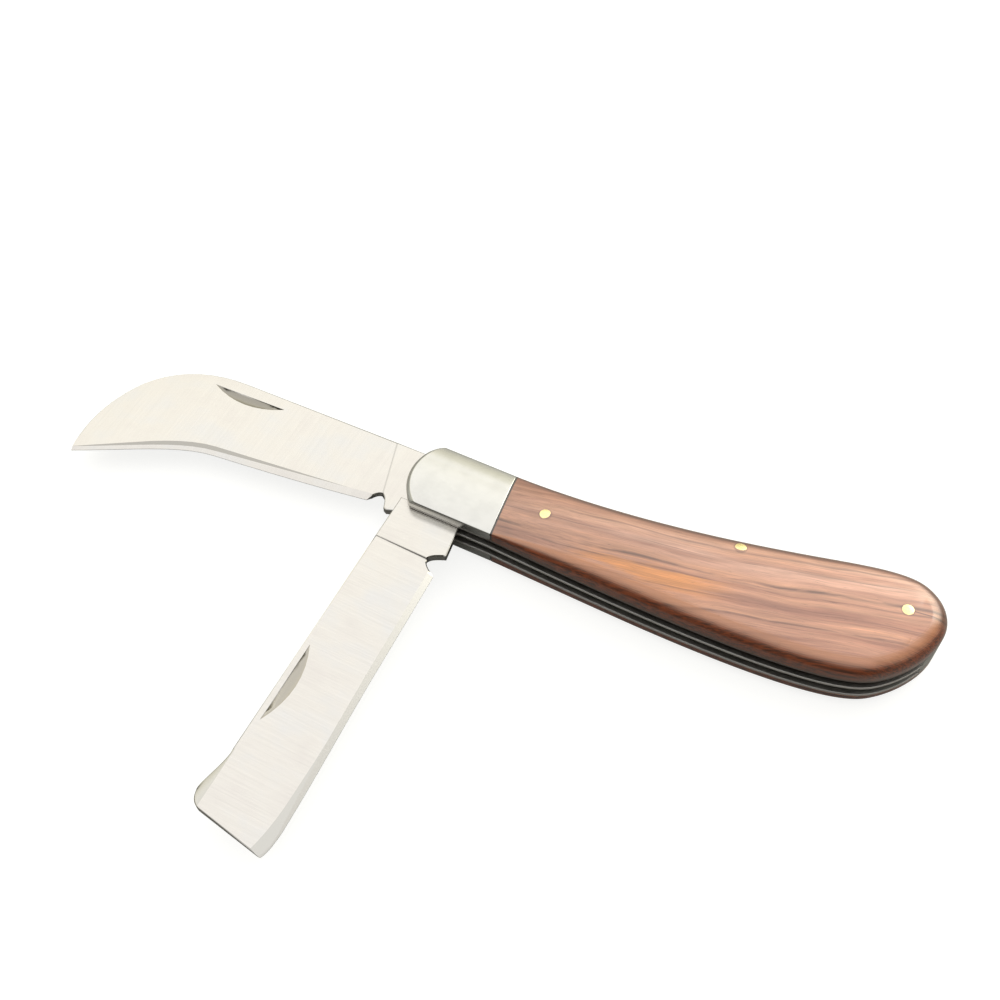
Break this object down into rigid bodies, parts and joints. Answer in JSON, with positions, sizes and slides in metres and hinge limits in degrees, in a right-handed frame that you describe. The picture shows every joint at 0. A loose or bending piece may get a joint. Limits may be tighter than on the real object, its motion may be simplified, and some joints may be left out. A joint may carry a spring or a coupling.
{
  "type": "folding pruning and grafting knife",
  "caption": "Slip-joint folding knife with a curved hawkbill blade and a straight grafting blade with bark lifter, wooden scales, steel bolsters and brass pins.",
  "frame": {"origin": "on the pivot axis of both blades, on the outer flat face of the rear bolster", "axes": "+X from the pivot towards the butt along the handle, +Y from the belly towards the spine, +Z from the rear scale towards the front scale, along the pivot axis"},
  "size_m": [0.1727, 0.0994, 0.0134],
  "materials": {
    "rosewood": "oiled, semi-gloss",
    "bolster_steel": "satin",
    "liner_steel": "satin",
    "spring_steel": "satin",
    "blade_steel": "satin, ground across the blade",
    "brass": "polished flush"
  },
  "bodies": {
    "handle": {"front_scale": "rosewood", "rear_scale": "rosewood", "front_bolster": "bolster_steel", "rear_bolster": "bolster_steel", "front_liner": "liner_steel", "center_liner": "liner_steel", "rear_liner": "liner_steel", "front_backspring": "spring_steel", "rear_backspring": "spring_steel", "pivot_pin": "spring_steel", "spring_pin": "brass", "butt_pin": "brass", "front_scale_pin": "brass", "rear_scale_pin": "brass"},
    "hawkbill": {"hawkbill_blade": "blade_steel"},
    "grafting": {"grafting_blade": "blade_steel"}
  },
  "joints": [
    {"name": "hawkbill_hinge", "type": "hinge", "parent": "handle", "child": "hawkbill", "pos_m": [0, 0, 0.0037], "axis": [0, 0, 1], "range_deg": [0, 170]},
    {"name": "grafting_hinge", "type": "hinge", "parent": "handle", "child": "grafting", "pos_m": [0, 0, 0.0063], "axis": [0, 0, 1], "range_deg": [-90, 84]}
  ]
}
